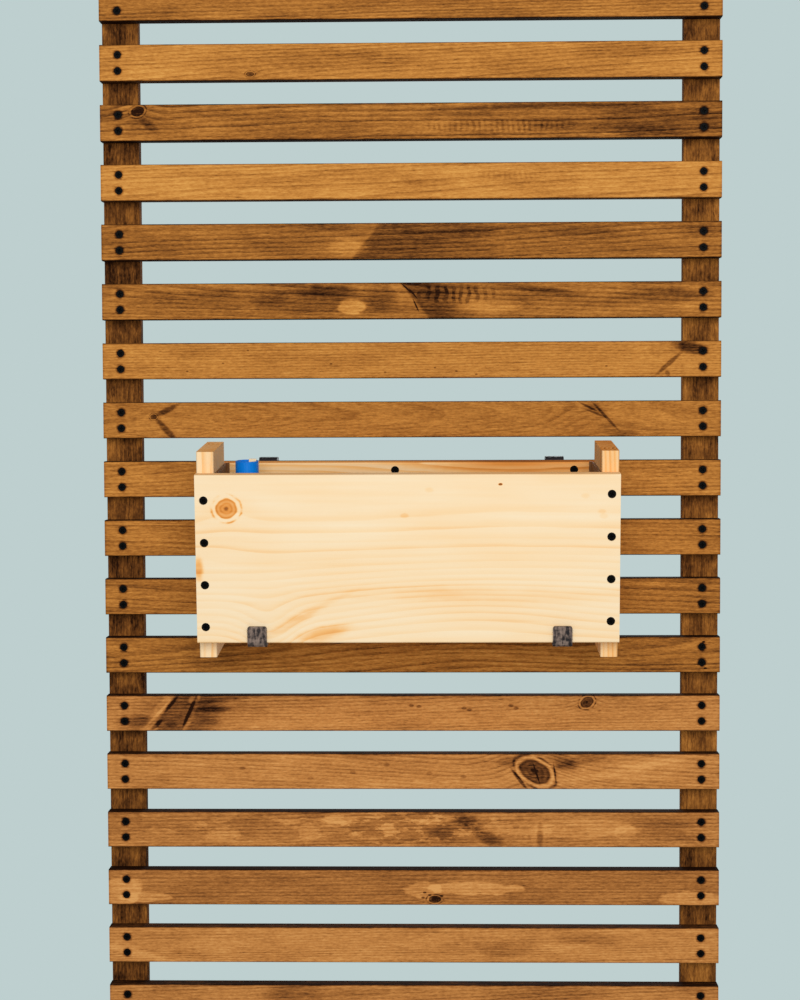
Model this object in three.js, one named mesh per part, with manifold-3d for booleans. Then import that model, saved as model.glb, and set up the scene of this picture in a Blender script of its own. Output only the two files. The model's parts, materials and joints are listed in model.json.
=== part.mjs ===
// Wall planter: a slatted pine frame for a wall, and a wooden planter box that hangs on one of its
// slats in two bent steel brackets. Millimetres, +Z up. The wall is the plane Y = 0, the front looks
// towards -Y, and the origin is the middle of the frame's back.
import * as THREE from 'three';
import { mergeVertices } from 'three/addons/utils/BufferGeometryUtils.js';
import Module from 'manifold-3d';

const wasm = await Module();
wasm.setup();

// ---------------------------------------------------------------- driving dimensions

// Slatted frame: planed battens, screwed to two upright rails behind them
const SLAT_COUNT = 18;
const SLAT_LENGTH = 720;
const SLAT_HEIGHT = 42;
const SLAT_THICK = 19;
const SLAT_GAP = 27; // open space between two slats
const RAIL_WIDTH = 42;
const RAIL_THICK = 19;
const BATTEN_EASE = 1.6; // rounding of a batten's long edges
const SLAT_SCREW_SPREAD = 18.5; // between the two screws at a slat's end

// Planter box
const BOX_WIDTH = 462;
const FRONT_HEIGHT = 186; // of the front board
const BACK_HEIGHT = 184.5; // of the back board
const BOARD_THICK = 19;
const END_DEPTH = 105; // of the end boards, between the front and the back
const END_RISE = 23; // of the end boards above the front board
const END_DROP = 20; // and below it, as feet
const BOARD_EASE = 2; // rounding of a board's long edges
const FLOOR_THICK = 16;
const BOX_SHIFT = -2; // the box sits a little left of the frame's middle
const BOX_LEAN = THREE.MathUtils.degToRad(5); // its top tips forward

// Hanging brackets, bent from flat steel bar
const HUNG_ON_SLAT = 9; // counted from the top
const HANG_DROP = 183; // from that slat's top to the box's lower back edge
const STRAP_INSET = 64; // from the box's end to the bracket's middle
const STRAP_WIDTH = 21;
const STRAP_THICK = 4;
const STRAP_BEND = 1.5; // inside radius of each bend
const TONGUE_DROP = 15; // of the hook behind the slat
const LIP_RISE = 19; // of the lip in front of the box
const LIP_CORNER = 2.5;

// Liner, watering tube and stick inside the box
const LINER_WALL = 2;
const LINER_CLEARANCE = 1; // to the boards round it
const LINER_CORNER = 6;
const LINER_END_DROP = 1; // of its rim below the front board's top, at the ends
const LINER_SIDE_DROP = 22; // and along the front and the back
const LINER_EAR = 5; // how far the high rim turns the corner
const LINER_EAR_FILLET = 8;
const DRAIN_COUNT = 3;
const DRAIN_PITCH = 120;
const FLOOR_DRAIN_RADIUS = 6;
const LINER_DRAIN_RADIUS = 4;
const TUBE_RADIUS = 13;
const TUBE_WALL = 2;
const TUBE_RISE = 7; // above the front board's top
const TUBE_INSET = 15.5; // from the liner's left end
const TUBE_NOTCH_WIDTH = 8; // water leaves through two notches in the tube's foot
const TUBE_NOTCH_HEIGHT = 6;
const SOCKET_WALL = 2; // of the ring that keeps the tube upright
const SOCKET_HEIGHT = 9;
const STICK_WIDTH = 8;
const STICK_THICK = 2;
const STICK_RISE = 2; // above the tube's mouth
const STICK_BACK = 2.8; // behind the tube's middle

// Screws with sunk heads
const SCREW_HEAD_RADIUS = 4.5;
const SCREW_RADIUS = 2;
const SCREW_CONE = 3.6; // depth of the head
const SCREW_RIM = 0.8; // straight edge of the head
const SCREW_TIP = 5;
const SCREW_SINK = 0.4; // of the head below the wood
const BOARD_SCREW_LENGTH = 45;
const TOP_SCREW_LENGTH = 16;
const BOARD_SCREW_COUNT = 4; // at each end of the front and back boards
const BOARD_SCREW_TOP = 25; // from the board's top edge to the first
const BOARD_SCREW_BOTTOM = 21; // from its bottom edge to the last
const BOARD_SCREW_STAGGER = 3; // the left row is set that much low, the right one high
const TOP_SCREW_DROP = 9; // inside the back board, below its top edge
const TOP_SCREW_INSET = 23; // of the outer two from the end boards
const TOP_SCREW_SHIFT = -16; // of the third from the middle
const FLOOR_SCREW_SPREAD = 60;

const SEAT_GAP = 0.3; // between pieces that touch
const CUT_MARGIN = 2; // how far a cutter stands out of what it cuts
const ROUND_SIDES = 32;
const SCREW_SIDES = 12;
const CORNER_STEPS = 3;

// ---------------------------------------------------------------- places that follow from them

const slatPitch = SLAT_HEIGHT + SLAT_GAP;
const frameHeight = (SLAT_COUNT - 1) * slatPitch + SLAT_HEIGHT;
const slatTop = (number) => frameHeight / 2 - (number - 1) * slatPitch;
const slatFront = -(RAIL_THICK + SLAT_THICK);

const boxDepth = END_DEPTH + 2 * BOARD_THICK + 2 * SEAT_GAP;
const boxHalf = BOX_WIDTH / 2;
const insideHalf = boxHalf - BOARD_THICK;
const boxBack = slatFront - SEAT_GAP - STRAP_THICK - SEAT_GAP;
const boxBottom = slatTop(HUNG_ON_SLAT) - HANG_DROP;
const frontInside = BOARD_THICK - boxDepth; // inner face of the front board
const floorTop = FLOOR_THICK + SEAT_GAP; // where the liner stands
const linerHalf = insideHalf - LINER_CLEARANCE;
const linerDepth = END_DEPTH + 2 * SEAT_GAP - 2 * LINER_CLEARANCE;
const boxMiddle = -boxDepth / 2;
const linerFloorTop = floorTop + LINER_WALL;
const tubePlace = LINER_WALL + TUBE_INSET + TUBE_RADIUS - linerHalf;
const tubeFoot = linerFloorTop + SEAT_GAP;
const tubeTop = FRONT_HEIGHT + TUBE_RISE;

// ---------------------------------------------------------------- finishes

const stainedPine = { color: 0xb8703a, roughness: 0.6 };
const railPine = { color: 0x8a5630, roughness: 0.65 };
const palePine = { color: 0xeecb98, roughness: 0.6 };
const blackSteel = { color: 0x3a3538, roughness: 0.45, metalness: 0.8 };
const blackScrew = { color: 0x161414, roughness: 0.4, metalness: 0.7 };
const brownPlastic = { color: 0x765030, roughness: 0.6 };
const bluePlastic = { color: 0x1268c8, roughness: 0.35 };
const paleStick = { color: 0xe6cfae, roughness: 0.7 };

// ---------------------------------------------------------------- solids

/** A closed three.js geometry as a solid that can be cut and joined. */
function solid(geometry) {
  const plain = geometry.clone();
  plain.deleteAttribute('normal');
  plain.deleteAttribute('uv');
  const merged = mergeVertices(plain);
  const index = Array.from(merged.index.array);
  const triangles = [];
  for (let i = 0; i < index.length; i += 3) {
    const [a, b, c] = index.slice(i, i + 3);
    if (a !== b && b !== c && c !== a) triangles.push(a, b, c);
  }
  return new wasm.Manifold(new wasm.Mesh({
    numProp: 3,
    vertProperties: new Float32Array(merged.attributes.position.array),
    triVerts: new Uint32Array(triangles),
  }));
}

/** A solid's faces as a three.js geometry. */
function faces(body) {
  const { vertProperties, triVerts } = body.getMesh();
  const geometry = new THREE.BufferGeometry();
  geometry.setAttribute('position', new THREE.BufferAttribute(new Float32Array(vertProperties), 3));
  geometry.setIndex(Array.from(triVerts));
  geometry.computeVertexNormals();
  return geometry;
}

/** A prism: an outline in the plane of two axes, pushed along the third one. */
function prism(outline, length, xAxis, yAxis, start = new THREE.Vector3()) {
  const zAxis = new THREE.Vector3().crossVectors(xAxis, yAxis);
  const geometry = new THREE.ExtrudeGeometry(outline, { depth: length, bevelEnabled: false });
  geometry.applyMatrix4(new THREE.Matrix4().makeBasis(xAxis, yAxis, zAxis).setPosition(start));
  return solid(geometry);
}

const ALONG_X = new THREE.Vector3(1, 0, 0);
const ALONG_Y = new THREE.Vector3(0, 1, 0);
const ALONG_Z = new THREE.Vector3(0, 0, 1);

/** A rectangle round the origin with rounded corners. */
function roundedRectangle(width, height, radius) {
  const [w, h] = [width / 2 - radius, height / 2 - radius];
  const outline = [];
  for (const [x, y, turn] of [[w, h, 0], [-w, h, 1], [-w, -h, 2], [w, -h, 3]]) {
    for (let step = 0; step <= CORNER_STEPS; step += 1) {
      const angle = (turn + step / CORNER_STEPS) * Math.PI / 2;
      outline.push(new THREE.Vector2(x + radius * Math.cos(angle), y + radius * Math.sin(angle)));
    }
  }
  return new THREE.Shape(outline);
}

/** A board with its long edges eased, from its lowest to its highest corner, grain along one axis. */
function board(low, high, ease, grain) {
  const size = new THREE.Vector3().subVectors(high, low);
  const middle = new THREE.Vector3().addVectors(low, high).multiplyScalar(0.5);
  if (grain === 'x') {
    const start = new THREE.Vector3(low.x, middle.y, middle.z);
    return prism(roundedRectangle(size.y, size.z, ease), size.x, ALONG_Y, ALONG_Z, start);
  }
  const start = new THREE.Vector3(middle.x, middle.y, low.z);
  return prism(roundedRectangle(size.x, size.y, ease), size.z, ALONG_X, ALONG_Y, start);
}

/** A round bar or hole along Z, standing at a point. */
function cylinder(radius, low, high, x, y) {
  const geometry = new THREE.CylinderGeometry(radius, radius, high - low, ROUND_SIDES);
  geometry.rotateX(Math.PI / 2).translate(x, y, (low + high) / 2);
  return solid(geometry);
}

/** A turned shape whose axis leaves the wood at a point, along a direction. */
function turned(profile, point, outward) {
  const geometry = new THREE.LatheGeometry(profile, SCREW_SIDES);
  geometry.applyQuaternion(new THREE.Quaternion().setFromUnitVectors(ALONG_Y, outward));
  geometry.translate(point.x, point.y, point.z);
  return solid(geometry);
}

const radial = (pairs) => pairs.map(([radius, height]) => new THREE.Vector2(radius, height));

/** A screw with a sunk head, at its place in the wood. */
function screw({ point, outward, length }) {
  return turned(radial([
    [0, -SCREW_SINK - length],
    [SCREW_RADIUS, SCREW_TIP - SCREW_SINK - length],
    [SCREW_RADIUS, -SCREW_SINK - SCREW_CONE],
    [SCREW_HEAD_RADIUS, -SCREW_SINK - SCREW_RIM],
    [SCREW_HEAD_RADIUS, -SCREW_SINK],
    [0, -SCREW_SINK],
  ]), point, outward);
}

/** The hole that a screw sits in. */
function screwHole({ point, outward, length }) {
  return turned(radial([
    [0, -SCREW_SINK - length - SEAT_GAP],
    [SCREW_RADIUS + SEAT_GAP, SCREW_TIP - SCREW_SINK - length - SEAT_GAP],
    [SCREW_RADIUS + SEAT_GAP, -SCREW_SINK - SCREW_CONE - SEAT_GAP],
    [SCREW_HEAD_RADIUS + SEAT_GAP, -SCREW_SINK - SCREW_RIM - SEAT_GAP],
    [SCREW_HEAD_RADIUS + SEAT_GAP, CUT_MARGIN],
    [0, CUT_MARGIN],
  ]), point, outward);
}

/** The cone that a countersink leaves, for a slat's screws. */
function countersink(point, outward) {
  const radius = SCREW_HEAD_RADIUS + SEAT_GAP;
  const depth = SCREW_SINK + SCREW_RIM + SCREW_CONE;
  return turned(radial([
    [0, -depth],
    [radius * (1 + CUT_MARGIN / depth), CUT_MARGIN],
    [0, CUT_MARGIN],
  ]), point, outward);
}

const cut = (body, cutters) => cutters.reduce((rest, cutter) => rest.subtract(cutter), body);

// ---------------------------------------------------------------- the group and its meshes

const wallPlanter = new THREE.Group();
const boxGroup = new THREE.Group();
boxGroup.position.set(BOX_SHIFT, boxBack, boxBottom);
boxGroup.rotation.x = BOX_LEAN;
wallPlanter.add(boxGroup);

function addMesh(group, name, body, finish) {
  const mesh = new THREE.Mesh(faces(body), new THREE.MeshStandardMaterial(finish));
  mesh.name = name;
  group.add(mesh);
}

// ---------------------------------------------------------------- slatted frame

const SIDES = [['left', -1], ['right', 1]];

function addFrame() {
  const railMiddle = SLAT_LENGTH / 2 - RAIL_WIDTH / 2;
  for (const [side, sign] of SIDES) {
    const low = new THREE.Vector3(sign * railMiddle - RAIL_WIDTH / 2, -RAIL_THICK, -frameHeight / 2);
    const high = new THREE.Vector3(sign * railMiddle + RAIL_WIDTH / 2, 0, frameHeight / 2);
    addMesh(wallPlanter, `rail_${side}`, board(low, high, BATTEN_EASE, 'z'), railPine);
  }
  for (let number = 1; number <= SLAT_COUNT; number += 1) {
    const top = slatTop(number);
    const low = new THREE.Vector3(-SLAT_LENGTH / 2, slatFront, top - SLAT_HEIGHT);
    const high = new THREE.Vector3(SLAT_LENGTH / 2, -RAIL_THICK, top);
    const seats = [];
    for (const x of [-railMiddle, railMiddle]) {
      for (const offset of [-SLAT_SCREW_SPREAD / 2, SLAT_SCREW_SPREAD / 2]) {
        const point = new THREE.Vector3(x, slatFront, top - SLAT_HEIGHT / 2 + offset);
        seats.push(countersink(point, new THREE.Vector3(0, -1, 0)));
      }
    }
    const name = `slat_${String(number).padStart(2, '0')}`;
    addMesh(wallPlanter, name, cut(board(low, high, BATTEN_EASE, 'x'), seats), stainedPine);
  }
}

// ---------------------------------------------------------------- hanging brackets

/** A point of the leaning box, from its own depth and height to the frame's Y and Z. */
function boxPoint(depth, height) {
  const [c, s] = [Math.cos(BOX_LEAN), Math.sin(BOX_LEAN)];
  return new THREE.Vector2(boxBack + c * depth - s * height, boxBottom + s * depth + c * height);
}

/** Outline of a flat bar that is bent at the inner corners of its middle line. */
function bentBar(corners, thick, insideRadius) {
  const radius = insideRadius + thick / 2;
  const left = [];
  const right = [];
  const step = (from, to) => new THREE.Vector2().subVectors(to, from).normalize();
  const add = (point, normal, offset) => point.clone().addScaledVector(normal, offset);
  corners.forEach((corner, i) => {
    const before = i > 0 ? step(corners[i - 1], corner) : null;
    const after = i < corners.length - 1 ? step(corner, corners[i + 1]) : null;
    const along = before ?? after;
    const normal = new THREE.Vector2(-along.y, along.x);
    if (!before || !after) {
      left.push(add(corner, normal, thick / 2));
      right.push(add(corner, normal, -thick / 2));
      return;
    }
    const bend = Math.atan2(before.cross(after), before.dot(after));
    const turn = Math.sign(bend);
    const centre = add(corner, before, -radius * Math.tan(Math.abs(bend) / 2));
    centre.addScaledVector(normal, turn * radius);
    for (let k = 0; k <= CORNER_STEPS; k += 1) {
      const spoke = normal.clone().multiplyScalar(-turn);
      spoke.rotateAround(new THREE.Vector2(), bend * k / CORNER_STEPS);
      left.push(add(centre, spoke, radius - turn * thick / 2));
      right.push(add(centre, spoke, radius + turn * thick / 2));
    }
  });
  return new THREE.Shape([...left, ...right.reverse()]);
}

/** What is cut off one upper corner of the lip to round it. */
function lipCorner(sign) {
  const edge = STRAP_WIDTH / 2;
  const outline = [
    [edge - LIP_CORNER, LIP_RISE + CUT_MARGIN],
    [edge + CUT_MARGIN, LIP_RISE + CUT_MARGIN],
    [edge + CUT_MARGIN, LIP_RISE - LIP_CORNER],
  ];
  for (let step = 0; step <= CORNER_STEPS; step += 1) {
    const angle = step / CORNER_STEPS * Math.PI / 2;
    const x = edge - LIP_CORNER + LIP_CORNER * Math.cos(angle);
    outline.push([x, LIP_RISE - LIP_CORNER + LIP_CORNER * Math.sin(angle)]);
  }
  const shape = new THREE.Shape(outline.map(([x, y]) => new THREE.Vector2(sign * x, y)));
  const depth = STRAP_THICK + 2 * CUT_MARGIN;
  const up = new THREE.Vector3(0, -Math.sin(BOX_LEAN), Math.cos(BOX_LEAN));
  const start = boxPoint(-boxDepth - SEAT_GAP + CUT_MARGIN, 0);
  return prism(shape, depth, ALONG_X, up, new THREE.Vector3(0, start.x, start.y));
}

function addBrackets() {
  const hook = slatTop(HUNG_ON_SLAT);
  const half = STRAP_THICK / 2;
  const shelf = -SEAT_GAP - half; // the shelf's middle line, below the box
  const lip = -boxDepth - SEAT_GAP - half; // the lip's middle line, in front of the box
  const tongue = -RAIL_THICK + SEAT_GAP + half;
  const leg = slatFront - SEAT_GAP - half;
  const legFoot = (leg - boxBack + Math.sin(BOX_LEAN) * shelf) / Math.cos(BOX_LEAN);
  const line = [
    new THREE.Vector2(tongue, hook - TONGUE_DROP),
    new THREE.Vector2(tongue, hook + SEAT_GAP + half),
    new THREE.Vector2(leg, hook + SEAT_GAP + half),
    boxPoint(legFoot, shelf),
    boxPoint(lip, shelf),
    boxPoint(lip, LIP_RISE),
  ];
  const bar = bentBar(line, STRAP_THICK, STRAP_BEND);
  const start = new THREE.Vector3(-STRAP_WIDTH / 2, 0, 0);
  const bent = prism(bar, STRAP_WIDTH, ALONG_Y, ALONG_Z, start);
  const bracket = cut(bent, [lipCorner(-1), lipCorner(1)]);
  for (const [side, sign] of SIDES) {
    const place = [sign * (boxHalf - STRAP_INSET), 0, 0];
    addMesh(wallPlanter, `bracket_${side}`, bracket.translate(place), blackSteel);
  }
}

// ---------------------------------------------------------------- planter box

/** The screws through one of the long boards into the end boards' edges. */
function longBoardScrews(row, face, outwardY) {
  const places = [];
  const span = FRONT_HEIGHT - BOARD_SCREW_TOP - BOARD_SCREW_BOTTOM;
  for (const [side, sign] of SIDES) {
    for (let i = 0; i < BOARD_SCREW_COUNT; i += 1) {
      const rise = BOARD_SCREW_BOTTOM + span * i / (BOARD_SCREW_COUNT - 1);
      const height = rise + sign * BOARD_SCREW_STAGGER;
      places.push({
        name: `${row}_screw_${side}_${i + 1}`,
        point: new THREE.Vector3(sign * (boxHalf - BOARD_THICK / 2), face, height),
        outward: new THREE.Vector3(0, outwardY, 0),
        length: BOARD_SCREW_LENGTH,
        into: side,
      });
    }
  }
  return places;
}

/** The short screws inside the back board, near its top edge. */
function topScrews() {
  const reach = insideHalf - TOP_SCREW_INSET;
  return [-reach, TOP_SCREW_SHIFT, reach].map((x, i) => ({
    name: `top_screw_${i + 1}`,
    point: new THREE.Vector3(x, -BOARD_THICK, BACK_HEIGHT - TOP_SCREW_DROP),
    outward: new THREE.Vector3(0, -1, 0),
    length: TOP_SCREW_LENGTH,
  }));
}

/** The screws through the end boards into the floor. */
function floorScrews() {
  const places = [];
  for (const [side, sign] of SIDES) {
    [-FLOOR_SCREW_SPREAD / 2, FLOOR_SCREW_SPREAD / 2].forEach((offset, i) => {
      places.push({
        name: `floor_screw_${side}_${i + 1}`,
        point: new THREE.Vector3(sign * boxHalf, boxMiddle + offset, FLOOR_THICK / 2),
        outward: new THREE.Vector3(sign, 0, 0),
        length: BOARD_SCREW_LENGTH,
        into: side,
      });
    });
  }
  return places;
}

/** Drain holes along the floor, for the board and for the plate on it. */
function drains(radius) {
  return Array.from({ length: DRAIN_COUNT }, (_, i) => {
    const x = (i - (DRAIN_COUNT - 1) / 2) * DRAIN_PITCH;
    return cylinder(radius, -CUT_MARGIN, linerFloorTop + CUT_MARGIN, x, boxMiddle);
  });
}

function addBox() {
  const front = longBoardScrews('front', -boxDepth, -1);
  const back = longBoardScrews('back', 0, 1);
  const top = topScrews();
  const floor = floorScrews();
  const holes = (screws) => screws.map(screwHole);

  const longBoard = (low, height, screws) => {
    const high = new THREE.Vector3(boxHalf, low + BOARD_THICK, height);
    const body = board(new THREE.Vector3(-boxHalf, low, 0), high, BOARD_EASE, 'x');
    return cut(body, holes(screws));
  };
  addMesh(boxGroup, 'front_board', longBoard(-boxDepth, FRONT_HEIGHT, front), palePine);
  const backBoard = longBoard(-BOARD_THICK, BACK_HEIGHT, [...back, ...top]);
  addMesh(boxGroup, 'back_board', backBoard, palePine);

  const endFront = frontInside + SEAT_GAP;
  for (const [side, sign] of SIDES) {
    const outer = sign * boxHalf;
    const inner = sign * insideHalf;
    const low = new THREE.Vector3(Math.min(outer, inner), endFront, -END_DROP);
    const high = new THREE.Vector3(
      Math.max(outer, inner), endFront + END_DEPTH, FRONT_HEIGHT + END_RISE);
    const screws = [...front, ...back, ...floor].filter((place) => place.into === side);
    const body = cut(board(low, high, BOARD_EASE, 'z'), holes(screws));
    addMesh(boxGroup, `end_board_${side}`, body, palePine);
  }

  const floorBoard = board(
    new THREE.Vector3(SEAT_GAP - insideHalf, endFront, 0),
    new THREE.Vector3(insideHalf - SEAT_GAP, endFront + END_DEPTH, FLOOR_THICK),
    BOARD_EASE,
    'x',
  );
  const floorCuts = [...holes(floor), ...drains(FLOOR_DRAIN_RADIUS)];
  addMesh(boxGroup, 'floor_board', cut(floorBoard, floorCuts), palePine);

  for (const place of [...front, ...back, ...top, ...floor]) {
    addMesh(boxGroup, place.name, screw(place), blackScrew);
  }
}

// ---------------------------------------------------------------- liner, watering tube and stick

function tray(half, depth, radius, low, high) {
  const outline = roundedRectangle(2 * half, depth, radius);
  return prism(outline, high - low, ALONG_X, ALONG_Y, new THREE.Vector3(0, boxMiddle, low));
}

/** The low stretch of the liner's rim, along the front and the back at once. */
function rimCut() {
  const half = linerHalf - LINER_EAR;
  const low = FRONT_HEIGHT - LINER_SIDE_DROP;
  const high = FRONT_HEIGHT + CUT_MARGIN;
  const outline = roundedRectangle(2 * half, 2 * (high - low), LINER_EAR_FILLET);
  const start = new THREE.Vector3(0, boxMiddle + linerDepth, high);
  return prism(outline, 2 * linerDepth, ALONG_X, ALONG_Z, start);
}

/** The liner's four walls, and the plate with the drain holes that closes them below. */
function addLiner() {
  const rim = FRONT_HEIGHT - LINER_END_DROP;
  const outer = tray(linerHalf, linerDepth, LINER_CORNER, floorTop, rim);
  const inner = tray(
    linerHalf - LINER_WALL,
    linerDepth - 2 * LINER_WALL,
    LINER_CORNER - LINER_WALL,
    floorTop - CUT_MARGIN,
    FRONT_HEIGHT + CUT_MARGIN,
  );
  addMesh(boxGroup, 'liner', cut(outer, [inner, rimCut()]), brownPlastic);

  const edge = LINER_WALL + SEAT_GAP;
  const plate = tray(
    linerHalf - edge, linerDepth - 2 * edge, LINER_CORNER - edge, floorTop, linerFloorTop);
  addMesh(boxGroup, 'drain_plate', cut(plate, drains(LINER_DRAIN_RADIUS)), brownPlastic);
}

function addTube() {
  const socketBore = TUBE_RADIUS + SEAT_GAP;
  const socketTop = tubeFoot + SOCKET_HEIGHT;
  const ring = cylinder(socketBore + SOCKET_WALL, tubeFoot, socketTop, tubePlace, boxMiddle);
  const hole = cylinder(
    socketBore, tubeFoot - CUT_MARGIN, socketTop + CUT_MARGIN, tubePlace, boxMiddle);
  addMesh(boxGroup, 'tube_socket', cut(ring, [hole]), brownPlastic);

  const pipe = cylinder(TUBE_RADIUS, tubeFoot, tubeTop, tubePlace, boxMiddle);
  const inside = TUBE_RADIUS - TUBE_WALL;
  const bore = cylinder(inside, tubeFoot - CUT_MARGIN, tubeTop + CUT_MARGIN, tubePlace, boxMiddle);
  const notch = new THREE.BoxGeometry(
    TUBE_NOTCH_WIDTH, 2 * TUBE_RADIUS + 2 * CUT_MARGIN, 2 * TUBE_NOTCH_HEIGHT);
  notch.translate(tubePlace, boxMiddle, tubeFoot);
  addMesh(boxGroup, 'watering_tube', cut(pipe, [bore, solid(notch)]), bluePlastic);

  const reach = inside - SEAT_GAP; // the stick's outer corner leans on the tube there
  const edge = Math.sqrt(reach ** 2 - (STICK_BACK + STICK_THICK / 2) ** 2);
  const stickTop = tubeTop + STICK_RISE;
  const stick = new THREE.BoxGeometry(STICK_WIDTH, STICK_THICK, stickTop - tubeFoot);
  stick.translate(
    tubePlace + edge - STICK_WIDTH / 2,
    boxMiddle + STICK_BACK,
    (stickTop + tubeFoot) / 2,
  );
  addMesh(boxGroup, 'plant_stick', solid(stick), paleStick);
}

addFrame();
addBrackets();
addBox();
addLiner();
addTube();

export default wallPlanter;
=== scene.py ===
# %% [markdown]
# # A wall planter: stained slats, a pale planter box, black screws and two steel brackets
#
# The solids of this planter are made elsewhere, in millimetres, and come in as a fixed frame. Here
# they get what a solid can't hold: the growth rings and knots of each board, the stain, the mill
# scale on the steel, and screws with a real drive recess. Nothing is moved or resized. Lengths are
# in metres, +Z is up, the wall is the plane Y = 0 and the front looks towards -Y.

import json
import math

import bmesh
import bpy
from mathutils import Matrix, Vector


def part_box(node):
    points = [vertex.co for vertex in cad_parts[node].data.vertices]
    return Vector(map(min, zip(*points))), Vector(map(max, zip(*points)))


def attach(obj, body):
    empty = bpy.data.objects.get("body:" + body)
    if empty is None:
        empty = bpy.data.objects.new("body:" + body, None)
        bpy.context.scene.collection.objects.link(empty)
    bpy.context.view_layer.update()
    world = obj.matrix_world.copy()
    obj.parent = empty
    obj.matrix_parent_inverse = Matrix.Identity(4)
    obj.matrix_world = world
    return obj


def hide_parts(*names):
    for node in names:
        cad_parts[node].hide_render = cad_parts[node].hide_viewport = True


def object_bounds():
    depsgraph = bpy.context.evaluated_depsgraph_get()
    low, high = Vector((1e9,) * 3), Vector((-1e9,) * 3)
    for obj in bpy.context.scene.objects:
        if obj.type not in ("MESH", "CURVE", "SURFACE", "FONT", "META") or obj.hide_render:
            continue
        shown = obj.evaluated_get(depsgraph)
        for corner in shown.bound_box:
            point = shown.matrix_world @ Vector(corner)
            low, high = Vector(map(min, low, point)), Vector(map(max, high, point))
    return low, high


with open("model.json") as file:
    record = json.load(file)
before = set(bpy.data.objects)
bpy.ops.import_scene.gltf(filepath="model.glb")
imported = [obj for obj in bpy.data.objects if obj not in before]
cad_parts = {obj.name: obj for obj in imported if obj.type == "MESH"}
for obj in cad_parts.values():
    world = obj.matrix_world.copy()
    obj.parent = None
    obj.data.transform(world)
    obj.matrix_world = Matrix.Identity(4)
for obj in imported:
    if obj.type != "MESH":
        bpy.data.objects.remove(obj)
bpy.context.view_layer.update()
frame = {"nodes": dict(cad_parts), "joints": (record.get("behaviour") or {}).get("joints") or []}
nodes = frame["nodes"]

# %% [markdown]
# ## How colours are written
#
# A paint chart and a photograph give colours as sRGB, from 0 to 255. Shaders count light, so each
# value is turned into linear light once, here. The view transform is set to Standard, which shows
# that light again without a film look, so a colour renders about as it is written.

# %% Colours and the view transform


def srgb(red, green, blue):
    """A colour as shaders take it, from its sRGB values."""
    def linear(value):
        share = value / 255
        return share / 12.92 if share <= 0.04045 else ((share + 0.055) / 1.055) ** 2.4
    return (linear(red), linear(green), linear(blue), 1.0)


bpy.context.scene.view_settings.view_transform = "Standard"
print("mid grey 128 is", round(srgb(128, 128, 128)[0], 3), "of full light")

# %% [markdown]
# ## The camera
#
# The photograph was taken from a little over two metres, slightly right of the middle and just
# above it, and the camera looked down by not quite three degrees. Its place was found by fitting
# the slats' edges, so the lens, the height and the three angles are real values. Guessing them by
# eye also works, but then the slats' undersides at the top show too much or too little.

# %% Camera at the photograph's viewing angle
CAMERA_PLACE = Vector((0.0359, -2.2673, 0.1208))
CAMERA_YAW = math.radians(-1.264)  # to the left
CAMERA_PITCH = math.radians(-2.859)  # down
CAMERA_ROLL = math.radians(-0.222)
CAMERA_LENS = 68.8  # mm, on a sensor 36 mm along the picture's longer side


def add_camera():
    forward = Vector((
        math.sin(CAMERA_YAW) * math.cos(CAMERA_PITCH),
        math.cos(CAMERA_YAW) * math.cos(CAMERA_PITCH),
        math.sin(CAMERA_PITCH),
    ))
    level = forward.cross(Vector((0, 0, 1))).normalized()
    upright = level.cross(forward)
    right = math.cos(CAMERA_ROLL) * level + math.sin(CAMERA_ROLL) * upright
    up = right.cross(forward)
    camera = bpy.data.objects.new("camera", bpy.data.cameras.new("camera"))
    camera.data.lens = CAMERA_LENS
    turn = Matrix((right, up, -forward)).transposed().to_4x4()
    camera.matrix_world = Matrix.Translation(CAMERA_PLACE) @ turn
    bpy.context.scene.collection.objects.link(camera)
    bpy.context.scene.camera = camera


add_camera()
print("camera is", round(-CAMERA_PLACE.y, 2), "m in front of the wall")

# %% [markdown]
# ## Fields: formulas that shade a surface
#
# Wood is easier to describe by formulas than by a picture: a growth ring is a distance from the
# tree's heart, and a fibre is noise that is drawn out along the grain. In Blender each step of a
# formula is a node. A small class that turns + - * / into math nodes lets the formulas below be
# read as formulas. Dragging some hundred nodes by hand gives the same material, but nobody could
# change it afterwards.

# %% Fields and recipes
METRE = 1000.0  # millimetres in a metre
AXES = {"x": 0, "y": 1, "z": 2}
NORMAL, OBJECT_PLACE = 1, 3  # outputs of a Texture Coordinate node
LENGTH = 1  # output of a Vector Math node
FIRST_COLOUR, SECOND_COLOUR, MIXED_COLOUR = 6, 7, 2  # sockets of a Mix node that mixes colours
NOISE_SHIFT = (7.3, 2.1)  # moves all noise off the origin of its grid


class Field:
    """A value that changes over a surface. Adding or multiplying fields adds math nodes."""

    def __init__(self, recipe, socket):
        self.recipe = recipe
        self.socket = socket

    def step(self, operation, *others):
        return self.recipe.node("Math", [self, *others], operation=operation)

    def __add__(self, other):
        return self.step("ADD", other)

    def __sub__(self, other):
        return self.step("SUBTRACT", other)

    def __mul__(self, other):
        return self.step("MULTIPLY", other)

    def __truediv__(self, other):
        return self.step("DIVIDE", other)

    def from_edge(self, low, high, start=0.0, end=1.0):
        """Goes smoothly from start to end while the field goes from low to high."""
        values = {"Value": self, "From Min": low, "From Max": high, "To Min": start, "To Max": end}
        return self.recipe.node("MapRange", values, interpolation_type="SMOOTHSTEP")

    def hill(self, width):
        """1 where the field is 0, falling off like a bell within about this width."""
        share = self / width
        return (share * share * -1.0).step("EXPONENT")


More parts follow.
